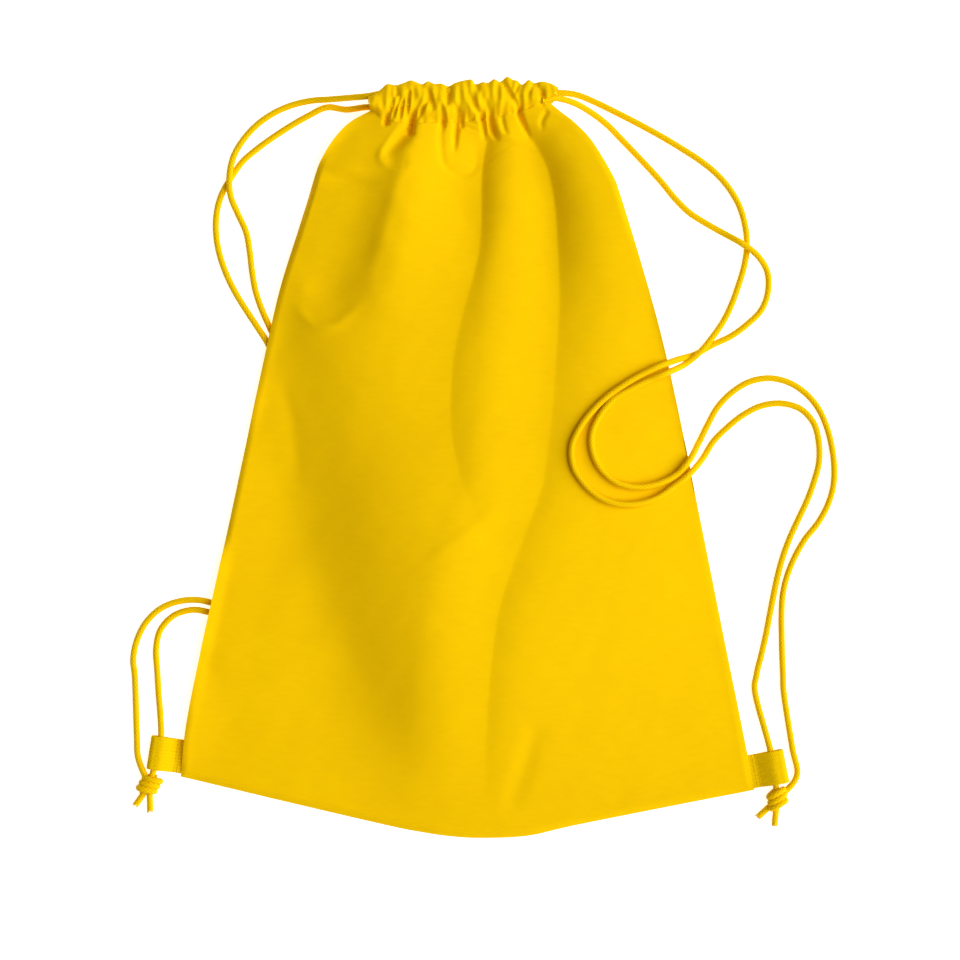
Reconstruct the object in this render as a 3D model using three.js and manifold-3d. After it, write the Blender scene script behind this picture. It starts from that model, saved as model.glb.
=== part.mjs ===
// A drawstring backpack, empty, lying on its back on a floor with its mouth drawn shut.
//
// Millimetres. +X is to the right, +Y runs from the bottom of the bag to its mouth, +Z is up.
// The origin is on the floor, under the middle of the bag with its two tabs.
//
// Two cloth panels are sewn together at both sides and along the bottom. The top of each panel
// is a casing, a folded hem that both cords run through. Each cord starts at one bottom corner,
// goes up to the mouth, through the front casing, round at the far side and back through the
// rear casing, and comes down again beside its own start. One strand passes through the webbing
// tab at the corner, the other passes beside it, and a knot below the tab ties them together.

import * as THREE from "three";
import { mergeVertices } from "three/addons/utils/BufferGeometryUtils.js";
import Module from "manifold-3d";

const wasm = await Module();
wasm.setup();

// ---- driving dimensions -------------------------------------------------------------------

const GAP = 0.3; // clearance between pieces that touch on the real bag
const CLOTH = 0.8; // one cloth layer
const PUFF = 13; // height of the hollow between the two panels
const MOUTH_RISE_FROM = 0.93; // share of the bag's length at which the rear panel starts to rise
const BOTTOM_ROUND = 0.12; // share of the bag's length over which the hollow opens
const PANEL_COLUMNS = 24;
const PANEL_ROWS = 28;

const CASING_LENGTH = 84; // along the mouth's edge, gathered
const CASING_HEIGHT = 24; // from its stitching to the mouth's edge
const CASING_THICKNESS = 6.5;
const MOUTH_GAP = 6.5; // between the front and the rear casing
const MOUTH_CENTRE = new THREE.Vector2(-2.5, 210.8);
const MOUTH_TILT = THREE.MathUtils.degToRad(2);
const PLEAT_COUNT = 6;
const PLEAT_DEPTH = 0.7;
const FAN = 0.18; // how much wider a casing is at its stitching than at the mouth's edge

const CORD_DIAMETER = 3.5;
const CORD_SIDES = 8;
const FLOOR_GAP = 0.05; // between a cord and the floor
const CORD_ON_FLOOR = CORD_DIAMETER / 2 + FLOOR_GAP;
const STRAND_STEPS = 60;
const SAMPLES_PER_STEP = 3; // places where a strand's height is worked out
const CLIMB_EARLY = 5; // in samples, how far before a climb a cord is at its full height
const CLIMB_EASE = 2; // in samples, how far the climb is evened out
const RUN_OFFSET = 2.8; // from the casing's centre line to the middle of its two cords
const RUN_SPREAD = 3.7; // from that middle to each cord

const WEBBING = 1.1;
const TAB_WIDTH = 20;
const TAB_LOOP_HEIGHT = 4.7; // clear height inside the fold
const KNOT_RADII = new THREE.Vector3(6, 7.4, 4.6);
const KNOT_Z = 4.5;

const REAR_CASING_Z = CASING_THICKNESS / 2;
const FRONT_CASING_Z = REAR_CASING_Z + CASING_THICKNESS + MOUTH_GAP;
const PLEAT_MEAN = PLEAT_DEPTH / 2;
const FRONT_RUN_Z = FRONT_CASING_Z + PLEAT_MEAN;
const REAR_RUN_Z = REAR_CASING_Z + PLEAT_MEAN;
const HIGH_T = RUN_OFFSET + RUN_SPREAD;
const LOW_T = RUN_OFFSET - RUN_SPREAD;
const RUN_END = (CASING_LENGTH / 2) * (1 + FAN * (0.5 - LOW_T / CASING_HEIGHT));
const CORD_START = RUN_END + 2 * GAP; // along the casing, where the cords outside it begin
const CORD_LIFT = 4.2; // how far the rear panel arches over a cord that lies under it
const CORD_LIFT_FLAT = 18; // half-width of that arch's flat top
const CORD_LIFT_FALL = 28; // and of its slope

const cloth = { color: 0xf3c500, roughness: 0.8, metalness: 0 };
const webbing = { color: 0xefc000, roughness: 0.7, metalness: 0 };
const cordage = { color: 0xf5c800, roughness: 0.65, metalness: 0 };

// ---- outline of the bag, seen from above --------------------------------------------------

const leftSide = outline([
  [-170.2, -188.8],
  [-157, -109.6],
  [-120.5, 59.2],
  [-100.7, 134.5],
  [-84.8, 180.1],
  [-66, 196],
]);
const rightSide = outline([
  [170.3, -196.1],
  [152.3, -106.7],
  [126.2, 23.1],
  [103.7, 112.8],
  [85.7, 168],
  [60, 200.4],
]);
const bottomSide = outline([
  [-170.2, -188.8],
  [-106, -204.2],
  [-28.7, -221.6],
  [9.8, -225.4],
  [64.9, -217.7],
  [170.3, -196.1],
]);
const mouthSide = outline([
  [-66, 196],
  [60, 200.4],
]);

function outline(points) {
  return new THREE.SplineCurve(points.map(([x, y]) => new THREE.Vector2(x, y)));
}

// A point of the bag at u across and v up, blended from its four sides as a Coons patch.
function panelPoint(u, v) {
  const left = leftSide.getPointAt(v);
  const right = rightSide.getPointAt(v);
  const across = left.clone().lerp(right, u);
  const low = bottomSide.getPointAt(u);
  const high = mouthSide.getPointAt(u);
  const up = low.clone().lerp(high, v);
  const lowLine = bottomSide.getPointAt(0).lerp(bottomSide.getPointAt(1), u);
  const highLine = mouthSide.getPointAt(0).lerp(mouthSide.getPointAt(1), u);
  const corners = lowLine.lerp(highLine, v);
  return across.add(up).sub(corners);
}

// ---- cord routes --------------------------------------------------------------------------
// Each point is [x, y] or [x, y, lift], where lift is how far the cord rises above what it
// would otherwise lie on, to cross over another cord or to reach a casing.

const leftFrontRoute = [
  [-58.1, 214.2, 12.5],
  [-68, 213.8, 8.8],
  [-81.8, 213.3, 4.3],
  [-96.6, 212.4, 0.8],
  [-111.4, 207.6],
  [-123.8, 199.7],
  [-133.3, 189.6],
  [-138.6, 180.1, 1.2],
  [-140.7, 169.5, 3.9],
  [-141.2, 161, 3.9],
  [-139, 152, 1.2],
  [-134.5, 142.2],
  [-130.4, 131.5],
  [-127.6, 110.2],
  [-124.4, 95.4],
  [-117, 77.6],
  [-105, 54],
  [-84, 38],
  [-55, 27],
  [-26, 15],
  [0, -3],
  [15, -28],
  [13, -55],
  [-5, -77],
  [-34, -91],
  [-66, -98],
  [-100, -101],
  [-130, -98],
  [-153.2, -91.2],
  [-164.7, -89.8],
  [-176.9, -94.8],
  [-184.3, -106.7],
  [-184.3, -123.8],
  [-182.5, -152],
];
const leftRearRoute = [
  [-59.8, 209.2, 0.9],
  [-68.9, 207.6],
  [-82.7, 209.3],
  [-96.6, 202.9],
  [-114.4, 192],
  [-132.4, 178],
  [-141.4, 165.3],
  [-148.2, 150.5],
  [-148.7, 129.2],
  [-141.9, 107.2],
  [-130.4, 87.1],
  [-119.1, 69.9],
  [-108.5, 48.5],
  [-87, 32],
  [-57, 21],
  [-29, 9.5],
  [-4.5, -7],
  [8.5, -29.5],
  [7, -52.5],
  [-9, -71.5],
  [-36, -85],
  [-67, -92],
  [-100, -95],
  [-129, -92],
  [-152.3, -85.4],
  [-164.7, -83.6],
  [-179.7, -87.4],
  [-191, -97.3],
  [-198.1, -114],
  [-197.4, -131],
  [-196.1, -152],
];
const rightFrontRoute = [
  [52.5, 212.9, 12.5],
  [61, 211.5, 9],
  [70.2, 207.5, 5.2],
  [80.6, 200.9, 2],
  [90.7, 191.4],
  [112.6, 168.3],
  [130.4, 148.1],
  [151.1, 135.1, 0.6],
  [161.5, 128.9, 3.9],
  [169.8, 123.2, 3.9],
  [176.9, 115.5, 0.6],
  [179.5, 104],
  [174.8, 88.3],
  [157.6, 73.5],
  [141, 65.8],
  [133.3, 61],
  [119.4, 57.1],
  [96, 45.9],
  [75, 29.6],
  [62, 8.3],
  [65.6, -10.1],
  [83, -24.9],
  [105.5, -25.5],
  [124.1, -14.8],
  [138.1, -2.1],
  [148.7, 13],
  [167.7, 28.4],
  [186, 33.2],
  [203.8, 25.5],
  [209.7, 3],
  [203.8, -20.7],
  [192, -46.8],
  [184.9, -68.7],
  [177.2, -107.2],
  [171.5, -133.3],
  [173.4, -152],
];
const rightRearRoute = [
  [52.7, 218, 0.9],
  [67.5, 215.9],
  [94.6, 203.2],
  [122.6, 187.8],
  [146.1, 171.8],
  [160, 154.6],
  [165.9, 135.9],
  [165.3, 116.7],
  [156.4, 89.5],
  [149.4, 77.5, 0.6],
  [144.2, 70.5, 3.6],
  [139.4, 64.6, 4],
  [130.9, 57.2, 4],
  [119.4, 51.4, 1],
  [105.5, 45.4],
  [84.1, 33.2],
  [73.8, 15.4],
  [73.8, 4.7],
  [84.1, -11.5],
  [103.1, -16.6],
  [124.1, -8.9],
  [136.9, 8.3],
  [149.9, 32],
  [167.7, 45.9],
  [187.2, 47.1],
  [205, 35.6],
  [215.1, 15.4],
  [218.4, -11.3],
  [212.1, -32.6],
  [197.9, -52.5],
  [188.4, -77],
  [187.2, -107.2],
  [189.2, -152.6],
];

const leftKnot = { centre: new THREE.Vector3(-188.7, -193.6, KNOT_Z), turn: -30 };
const rightKnot = { centre: new THREE.Vector3(184.4, -202.2, KNOT_Z), turn: 12 };

// ---- geometry helpers ---------------------------------------------------------------------

function smooth(x) {
  const t = THREE.MathUtils.clamp(x, 0, 1);
  return t * t * (3 - 2 * t);
}

// A place in the mouth's own frame: s along the casings, t across them.
function mouthPoint(s, t, z) {
  const place = new THREE.Vector2(s, t).rotateAround(new THREE.Vector2(), MOUTH_TILT);
  return new THREE.Vector3(MOUTH_CENTRE.x + place.x, MOUTH_CENTRE.y + place.y, z);
}

function named(name, geometry, look) {
  const mesh = new THREE.Mesh(geometry, new THREE.MeshStandardMaterial(look));
  mesh.name = name;
  return mesh;
}

function tube(points, steps) {
  const corners = Array.from({ length: CORD_SIDES }, (_, i) =>
    new THREE.Vector2(CORD_DIAMETER / 2, 0).rotateAround(
      new THREE.Vector2(),
      ((i + 0.5) * 2 * Math.PI) / CORD_SIDES,
    ),
  );
  return new THREE.ExtrudeGeometry(new THREE.Shape(corners), {
    steps,
    bevelEnabled: false,
    extrudePath: new THREE.CatmullRomCurve3(points),
  });
}

function solidOf(geometry) {
  const bare = geometry.clone().deleteAttribute("normal").deleteAttribute("uv");
  const merged = mergeVertices(bare, 1e-4);
  return new wasm.Manifold(
    new wasm.Mesh({
      numProp: 3,
      vertProperties: merged.attributes.position.array,
      triVerts: new Uint32Array(merged.index.array),
    }),
  );
}

function geometryOf(solid) {
  const { vertProperties, triVerts } = solid.getMesh();
  const geometry = new THREE.BufferGeometry();
  geometry.setAttribute("position", new THREE.BufferAttribute(vertProperties, 3));
  geometry.setIndex(new THREE.BufferAttribute(triVerts, 1));
  return geometry;
}

// ---- panels -------------------------------------------------------------------------------

const hiddenCords = [leftFrontRoute, leftRearRoute].flatMap((route) =>
  planCurve(route).getSpacedPoints(2 * STRAND_STEPS),
);

function planCurve(route) {
  return new THREE.CatmullRomCurve3(
    route.map(([x, y, lift = 0]) => new THREE.Vector3(x, y, lift)),
  );
}

// The rear panel lies on the floor, arches over the left cord and rises to the rear casing.
function rearUnderside(x, y, v) {
  const reach = Math.min(...hiddenCords.map((p) => Math.hypot(p.x - x, p.y - y)));
  const arch = CORD_LIFT * smooth(1 - (reach - CORD_LIFT_FLAT) / CORD_LIFT_FALL);
  const nearMouth = smooth((v - MOUTH_RISE_FROM) / (1 - MOUTH_RISE_FROM));
  return Math.max(arch * (1 - nearMouth), (REAR_CASING_Z - CLOTH / 2) * nearMouth);
}

// The front panel stands clear of the rear one, and meets it along the seams.
function frontUnderside(x, y, u, v) {
  const fromSides = 1 - Math.abs(2 * u - 1) ** 4;
  const fromBottom = 1 - Math.max(0, 1 - v / BOTTOM_ROUND) ** 2;
  const puff = PUFF * fromSides * fromBottom;
  return rearUnderside(x, y, v) + CLOTH + GAP + puff;
}

// A closed sheet of cloth over the bag's outline, from a height for its underside.
function sheet(underside) {
  const positions = [];
  const index = [];
  const at = (column, row, layer) =>
    2 * (row * (PANEL_COLUMNS + 1) + column) + layer;
  for (let row = 0; row <= PANEL_ROWS; row++) {
    for (let column = 0; column <= PANEL_COLUMNS; column++) {
      const u = column / PANEL_COLUMNS;
      const v = row / PANEL_ROWS;
      const { x, y } = panelPoint(u, v);
      const z = underside(x, y, u, v);
      positions.push(x, y, z, x, y, z + CLOTH);
    }
  }
  const quad = (a, b, c, d) => index.push(a, b, c, a, c, d);
  for (let row = 0; row < PANEL_ROWS; row++) {
    for (let column = 0; column < PANEL_COLUMNS; column++) {
      const corners = [
        [column, row],
        [column + 1, row],
        [column + 1, row + 1],
        [column, row + 1],
      ];
      quad(...corners.map(([c, r]) => at(c, r, 1)));
      quad(...corners.map(([c, r]) => at(c, r, 0)).reverse());
    }
  }
  const wall = ([c0, r0], [c1, r1]) =>
    quad(at(c0, r0, 0), at(c1, r1, 0), at(c1, r1, 1), at(c0, r0, 1));
  for (let column = 0; column < PANEL_COLUMNS; column++) {
    wall([column, 0], [column + 1, 0]);
    wall([column + 1, PANEL_ROWS], [column, PANEL_ROWS]);
  }
  for (let row = 0; row < PANEL_ROWS; row++) {
    wall([0, row + 1], [0, row]);
    wall([PANEL_COLUMNS, row], [PANEL_COLUMNS, row + 1]);
  }
  const geometry = new THREE.BufferGeometry();
  geometry.setAttribute("position", new THREE.Float32BufferAttribute(positions, 3));
  geometry.setIndex(index);
  return geometry;
}

// ---- casings ------------------------------------------------------------------------------

// The section of a casing: a flat hem with round edges, and the tunnel for the cords in it.
function hemLoop(radius, target) {
  const straight = (CASING_HEIGHT - CASING_THICKNESS) / 2;
  target.absarc(straight, 0, radius, -Math.PI / 2, Math.PI / 2);
  target.absarc(-straight, 0, radius, Math.PI / 2, (3 * Math.PI) / 2);
  target.closePath();
  return target;
}

// A casing along the mouth, pleated, and fanning out from the mouth's edge to its stitching.
function casing(centreZ) {
  const section = hemLoop(CASING_THICKNESS / 2, new THREE.Shape());
  section.holes.push(hemLoop(CASING_THICKNESS / 2 - CLOTH, new THREE.Path()));
  const geometry = new THREE.ExtrudeGeometry(section, {
    depth: CASING_LENGTH,
    steps: 4 * PLEAT_COUNT,
    curveSegments: 3,
    bevelEnabled: false,
  });
  const position = geometry.attributes.position;
  for (let i = 0; i < position.count; i++) {
    const t = position.getX(i);
    const z = position.getY(i);
    const s = position.getZ(i) - CASING_LENGTH / 2;
    const pleat = PLEAT_MEAN * (1 + Math.sin((2 * Math.PI * PLEAT_COUNT * s) / CASING_LENGTH));
    const spread = 1 + FAN * (0.5 - t / CASING_HEIGHT);
    position.setXYZ(i, ...mouthPoint(s * spread, t, centreZ + z + pleat));
  }
  return geometry;
}

// ---- cords --------------------------------------------------------------------------------

const UP = new THREE.Vector3(0, 0, 1);

// The height of a mesh's top at a place, or of the floor where the mesh isn't.
function topOf(mesh, x, y) {
  const ray = new THREE.Raycaster(new THREE.Vector3(x, y, 100), UP.clone().negate());
  const hit = ray.intersectObject(mesh)[0];
  return hit ? hit.point.z : 0;
}

// The highest a mesh comes under a cord at a place, with room for the cord.
function topUnderCord(mesh, x, y) {
  const reach = CORD_DIAMETER / 2;
  const places = [
    [0, 0],
    [reach, 0],
    [-reach, 0],
    [0, reach],
    [0, -reach],
  ];
  const top = Math.max(...places.map(([dx, dy]) => topOf(mesh, x + dx, y + dy)));
  return top > 0 ? top + 2 * GAP : 0;
}

// A route's points in space: on the floor, or draped over a mesh. The cord reaches the height
// of what it climbs a little early, and its climb is evened out over a short length.
function laid(route, under = null) {
  const samples = planCurve(route).getSpacedPoints(SAMPLES_PER_STEP * STRAND_STEPS);
  const around = (values, i, reach) => values.slice(Math.max(0, i - reach), i + reach + 1);
  const tops = samples.map(({ x, y }) => (under ? topUnderCord(under, x, y) : 0));
  const crests = tops.map((_, i) => Math.max(...around(tops, i, CLIMB_EARLY)));
  const eased = crests.map((_, i) => mean(around(crests, i, CLIMB_EASE)));
  return samples
    .map(({ x, y, z }, i) => new THREE.Vector3(x, y, CORD_ON_FLOOR + eased[i] + Math.max(0, z)))
    .filter((_, i) => i % SAMPLES_PER_STEP === 0);
}

function mean(values) {
  return values.reduce((sum, value) => sum + value, 0) / values.length;
}

function strand(name, exit, route, arrival, under) {
  const points = [exit, ...laid(route, under), arrival];
  return named(name, tube(points, STRAND_STEPS), cordage);
}

// The straight stretch of a cord inside a casing.
function casingRun(name, t, z) {
  const points = [-RUN_END, 0, RUN_END].map((s) => mouthPoint(s, t, z));
  return named(name, tube(points, 8), cordage);
}

// The half circle that takes a cord from its front run to its rear run. Side is +1 or -1.
function turn(name, side, frontT, rearT) {
  const front = new THREE.Vector2(frontT, FRONT_RUN_Z);
  const rear = new THREE.Vector2(rearT, REAR_RUN_Z);
  const centre = front.clone().lerp(rear, 0.5);
  const radius = front.distanceTo(rear) / 2;
  const divisions = 10;
  const points = [];
  for (let i = 0; i <= divisions; i++) {
    const angle = (Math.PI * i) / divisions;
    const place = centre.clone().lerp(front, Math.cos(angle));
    const s = side * (CORD_START + radius * Math.sin(angle));
    points.push(mouthPoint(s, place.x, place.y));
  }
  return named(name, tube(points, divisions), cordage);
}

// ---- knots --------------------------------------------------------------------------------

function knotGeometry({ centre, turn: degrees }, grow = 0) {
  return new THREE.SphereGeometry(1, 14, 9)
    .scale(KNOT_RADII.x + grow, KNOT_RADII.y + grow, KNOT_RADII.z + grow)
    .rotateZ(THREE.MathUtils.degToRad(degrees))
    .translate(centre.x, centre.y, centre.z);
}

// A short cord whose last point is inside the knot, cut back to the knot's surface.
function knottedCord(name, points, knot) {
  const cord = solidOf(tube(points, points.length));
  const knotRoom = solidOf(knotGeometry(knot, GAP));
  return named(name, geometryOf(cord.subtract(knotRoom)), cordage);
}

// ---- tabs ---------------------------------------------------------------------------------

// A strip of webbing folded double: closed at the seam, open in a round loop at its fold.
function tab(name, length, seamCentre, degrees) {
  const outer = TAB_LOOP_HEIGHT / 2 + WEBBING;
  const inner = TAB_LOOP_HEIGHT / 2;
  const neck = 5; // the two layers lie together for this far from the seam
  const fold = length - outer;
  const apart = 0.7 * fold; // the two layers are fully apart from here on
  const half = Math.PI / 2;
  const profile = new THREE.Shape();
  profile.moveTo(0, 0);
  profile.lineTo(fold, 0);
  profile.absarc(fold, outer, outer, -half, half);
  profile.lineTo(apart, 2 * outer);
  profile.lineTo(neck, 2 * WEBBING + 0.2);
  profile.lineTo(0, 2 * WEBBING);
  profile.closePath();
  const loop = new THREE.Path();
  loop.moveTo(neck, WEBBING);
  loop.lineTo(fold, WEBBING);
  loop.absarc(fold, outer, inner, -half, half);
  loop.lineTo(apart, outer + inner);
  loop.closePath();
  profile.holes.push(loop);
  const geometry = new THREE.ExtrudeGeometry(profile, {
    depth: TAB_WIDTH,
    curveSegments: 6,
    bevelEnabled: false,
  });
  geometry.translate(0, 0, -TAB_WIDTH / 2);
  geometry.rotateX(Math.PI / 2);
  const mesh = named(name, geometry, webbing);
  mesh.position.set(seamCentre.x, seamCentre.y, 0);
  mesh.rotation.z = THREE.MathUtils.degToRad(degrees);
  return mesh;
}

// ---- the bag ------------------------------------------------------------------------------

const group = new THREE.Group();

const rearPanel = named(
  "rear_panel",
  sheet((x, y, u, v) => rearUnderside(x, y, v)),
  cloth,
);
const frontPanel = named("front_panel", sheet(frontUnderside), cloth);
group.add(rearPanel, frontPanel);
group.add(named("rear_casing", casing(REAR_CASING_Z), cloth));
group.add(named("front_casing", casing(FRONT_CASING_Z), cloth));

// The left cord runs high in the front casing and low in the rear one, the right cord the
// other way round, so that the four stretches keep clear of each other.
group.add(
  casingRun("left_cord_front_run", HIGH_T, FRONT_RUN_Z),
  casingRun("left_cord_rear_run", LOW_T, REAR_RUN_Z),
  casingRun("right_cord_front_run", LOW_T, FRONT_RUN_Z),
  casingRun("right_cord_rear_run", HIGH_T, REAR_RUN_Z),
  turn("left_cord_turn", 1, HIGH_T, LOW_T),
  turn("right_cord_turn", -1, LOW_T, HIGH_T),
);

const LOOP_Z = WEBBING + TAB_LOOP_HEIGHT / 2; // height of the cord inside a tab
const leftPass = new THREE.Vector3(-181.7, -163.5, LOOP_Z);
const leftBypass = new THREE.Vector3(-196.3, -163.5, 2.4);
const rightPass = new THREE.Vector3(179.9, -171.5, LOOP_Z);
const rightBypass = new THREE.Vector3(193.4, -171.5, 2.4);

group.add(
  strand(
    "left_cord_front_strand",
    mouthPoint(-CORD_START, HIGH_T, FRONT_RUN_Z),
    leftFrontRoute,
    leftPass,
  ),
  strand(
    "left_cord_rear_strand",
    mouthPoint(-CORD_START, LOW_T, REAR_RUN_Z),
    leftRearRoute,
    leftBypass,
  ),
  strand(
    "right_cord_front_strand",
    mouthPoint(CORD_START, LOW_T, FRONT_RUN_Z),
    rightFrontRoute,
    rightPass,
    frontPanel,
  ),
  strand(
    "right_cord_rear_strand",
    mouthPoint(CORD_START, HIGH_T, REAR_RUN_Z),
    rightRearRoute,
    rightBypass,
    frontPanel,
  ),
);

group.add(tab("left_tab", 19.4, { x: -169.8, y: -176.9 }, 171));
group.add(tab("right_tab", 20, { x: 170, y: -185.8 }, 11));

function knotSet(side, knot, pass, bypass, tails) {
  const { centre } = knot;
  const below = (point) => new THREE.Vector3(point.x, point.y - 2 * GAP, point.z);
  group.add(named(`${side}_knot`, knotGeometry(knot), cordage));
  group.add(
    knottedCord(`${side}_cord_through_tab`, [below(pass.from), pass.mid, centre], knot),
    knottedCord(`${side}_cord_beside_tab`, [below(bypass.from), bypass.mid, centre], knot),
  );
  tails.forEach(([x, y], i) => {
    const tip = new THREE.Vector3(x, y, CORD_ON_FLOOR);
    const root = new THREE.Vector3(centre.x, centre.y, CORD_ON_FLOOR + 1.5);
    const middle = root.clone().lerp(tip, 0.6).setZ(CORD_ON_FLOOR + 0.3);
    group.add(knottedCord(`${side}_tail_${i + 1}`, [tip, middle, root], knot));
  });
}

knotSet(
  "left",
  leftKnot,
  { from: leftPass, mid: new THREE.Vector3(-184.3, -178, LOOP_Z) },
  { from: leftBypass, mid: new THREE.Vector3(-195.3, -178, 2.8) },
  [
    [-196.9, -205.5],
    [-188.4, -209],
  ],
);
knotSet(
  "right",
  rightKnot,
  { from: rightPass, mid: new THREE.Vector3(182.6, -187, LOOP_Z) },
  { from: rightBypass, mid: new THREE.Vector3(196, -188.5, 2.8) },
  [
    [173.5, -212.5],
    [183, -217.5],
  ],
);

export default group;
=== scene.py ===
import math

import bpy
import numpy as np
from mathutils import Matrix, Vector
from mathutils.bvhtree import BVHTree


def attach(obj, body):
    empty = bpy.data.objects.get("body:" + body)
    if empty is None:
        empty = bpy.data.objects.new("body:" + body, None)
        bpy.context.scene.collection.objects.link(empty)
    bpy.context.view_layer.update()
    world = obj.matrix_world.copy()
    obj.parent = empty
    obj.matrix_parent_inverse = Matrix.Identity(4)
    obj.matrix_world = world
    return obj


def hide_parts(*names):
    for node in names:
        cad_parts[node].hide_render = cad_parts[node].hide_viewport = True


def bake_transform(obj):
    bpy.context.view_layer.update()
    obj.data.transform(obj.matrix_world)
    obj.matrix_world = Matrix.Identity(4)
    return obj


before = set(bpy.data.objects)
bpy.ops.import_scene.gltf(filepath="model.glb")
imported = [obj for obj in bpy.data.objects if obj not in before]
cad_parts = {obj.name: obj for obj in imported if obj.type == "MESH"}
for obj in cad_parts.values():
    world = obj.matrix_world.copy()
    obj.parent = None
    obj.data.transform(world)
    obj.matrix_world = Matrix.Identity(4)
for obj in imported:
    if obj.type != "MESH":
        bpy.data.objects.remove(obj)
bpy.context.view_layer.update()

# A yellow drawstring backpack, lying empty on its back with its mouth drawn shut.
# +X is to the right, +Y runs from the bottom of the bag to its mouth, +Z is up.
# Lengths are in metres. The outline, the folds, the cord routes and the shapes of the
# knots' turns, the tabs and the stitches are in millimetres, which MM turns into metres.

MM = 0.001

# ---- camera ----

VIEW_CENTRE = (0.0077, -0.0124)
VIEW_WIDTH = 0.5688
LENS = 100
SENSOR = 36
MIDDLE_HEIGHT = 0.008


def add_camera():
    data = bpy.data.cameras.new("camera")
    data.type = "PERSP"
    data.lens = LENS
    data.sensor_width = SENSOR
    camera = bpy.data.objects.new("camera", data)
    bpy.context.collection.objects.link(camera)
    height = VIEW_WIDTH * LENS / SENSOR + MIDDLE_HEIGHT
    camera.location = (*VIEW_CENTRE, height)
    bpy.context.scene.camera = camera


add_camera()

# ---- cord routes ----
# Each point is (x, y) or (x, y, lift), where lift is how far the cord rises above what it
# lies on.

CORD_DIAMETER = 0.0035
CORD_RADIUS = CORD_DIAMETER / 2


def cord_route(points):
    """A cord's route in metres, from points in millimetres."""
    return np.array([(*point, 0)[:3] for point in points]) * MM


LEFT_FRONT_ROUTE = cord_route([
    (-58.1, 214.2, 12.5), (-68, 213.8, 8.8), (-81.8, 213.3, 4.3), (-96.6, 212.4, 0.8),
    (-111.4, 207.6), (-123.8, 199.7), (-133.3, 189.6), (-138.6, 180.1, 1.2),
    (-140.7, 169.5, 3.9), (-141.2, 161, 3.9), (-139, 152, 1.2), (-134.5, 142.2),
    (-130.4, 131.5), (-127.6, 110.2), (-124.4, 95.4), (-117, 77.6), (-105, 54), (-84, 38),
    (-55, 27), (-26, 15), (0, -3), (15, -28), (13, -55), (-5, -77), (-34, -91), (-66, -98),
    (-100, -101), (-130, -98), (-153.2, -91.2), (-164.7, -89.8), (-176.9, -94.8),
    (-184.3, -106.7), (-184.3, -123.8), (-182.5, -152),
])
LEFT_REAR_ROUTE = cord_route([
    (-59.8, 209.2, 0.9), (-68.9, 207.6), (-82.7, 209.3), (-96.6, 202.9), (-114.4, 192),
    (-132.4, 178), (-141.4, 165.3), (-148.2, 150.5), (-148.7, 129.2), (-141.9, 107.2),
    (-130.4, 87.1), (-119.1, 69.9), (-108.5, 48.5), (-87, 32), (-57, 21), (-29, 9.5),
    (-4.5, -7), (8.5, -29.5), (7, -52.5), (-9, -71.5), (-36, -85), (-67, -92), (-100, -95),
    (-129, -92), (-152.3, -85.4), (-164.7, -83.6), (-179.7, -87.4), (-191, -97.3),
    (-198.1, -114), (-197.4, -131), (-196.1, -152),
])
RIGHT_FRONT_ROUTE = cord_route([
    (52.5, 212.9, 12.5), (61, 211.5, 9), (70.2, 207.5, 5.2), (80.6, 200.9, 2), (90.7, 191.4),
    (112.6, 168.3), (130.4, 148.1), (151.1, 135.1, 0.6), (161.5, 128.9, 3.9),
    (169.8, 123.2, 3.9), (176.9, 115.5, 0.6), (179.5, 104), (174.8, 88.3), (157.6, 73.5),
    (141, 65.8), (133.3, 61), (119.4, 57.1), (96, 45.9), (75, 29.6), (62, 8.3), (65.6, -10.1),
    (83, -24.9), (105.5, -25.5), (124.1, -14.8), (138.1, -2.1), (148.7, 13), (167.7, 28.4),
    (186, 33.2), (203.8, 25.5), (209.7, 3), (203.8, -20.7), (192, -46.8), (184.9, -68.7),
    (177.2, -107.2), (171.5, -133.3), (173.4, -152),
])
RIGHT_REAR_ROUTE = cord_route([
    (52.7, 218, 0.9), (67.5, 215.9), (94.6, 203.2), (122.6, 187.8), (146.1, 171.8),
    (160, 154.6), (165.9, 135.9), (165.3, 116.7), (156.4, 89.5), (149.4, 77.5, 0.6),
    (144.2, 70.5, 3.6), (139.4, 64.6, 4), (130.9, 57.2, 4), (119.4, 51.4, 1), (105.5, 45.4),
    (84.1, 33.2), (73.8, 15.4), (73.8, 4.7), (84.1, -11.5), (103.1, -16.6), (124.1, -8.9),
    (136.9, 8.3), (149.9, 32), (167.7, 45.9), (187.2, 47.1), (205, 35.6), (215.1, 15.4),
    (218.4, -11.3), (212.1, -32.6), (197.9, -52.5), (188.4, -77), (187.2, -107.2),
    (189.2, -152.6),
])

# In each casing two cords run side by side, along the line of the drawn mouth.
MOUTH_CENTRE = (-0.0025, 0.2108)
MOUTH_TILT = math.radians(2)
CORD_START = 0.04666  # from the mouth's middle to where a cord comes out of a casing
UPPER_CORD = 0.0065  # how far from the mouth's line towards its edge
LOWER_CORD = -0.0009
FRONT_RUN = 0.0166  # heights
REAR_RUN = 0.0036


def casing_ends(across, height):
    """Where a cord comes out of a casing, at the casing's left end and at its right end."""
    x, y = MOUTH_CENTRE
    return [
        (
            x + along * math.cos(MOUTH_TILT) - across * math.sin(MOUTH_TILT),
            y + along * math.sin(MOUTH_TILT) + across * math.cos(MOUTH_TILT),
            height,
        )
        for along in (-CORD_START, CORD_START)
    ]


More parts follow.
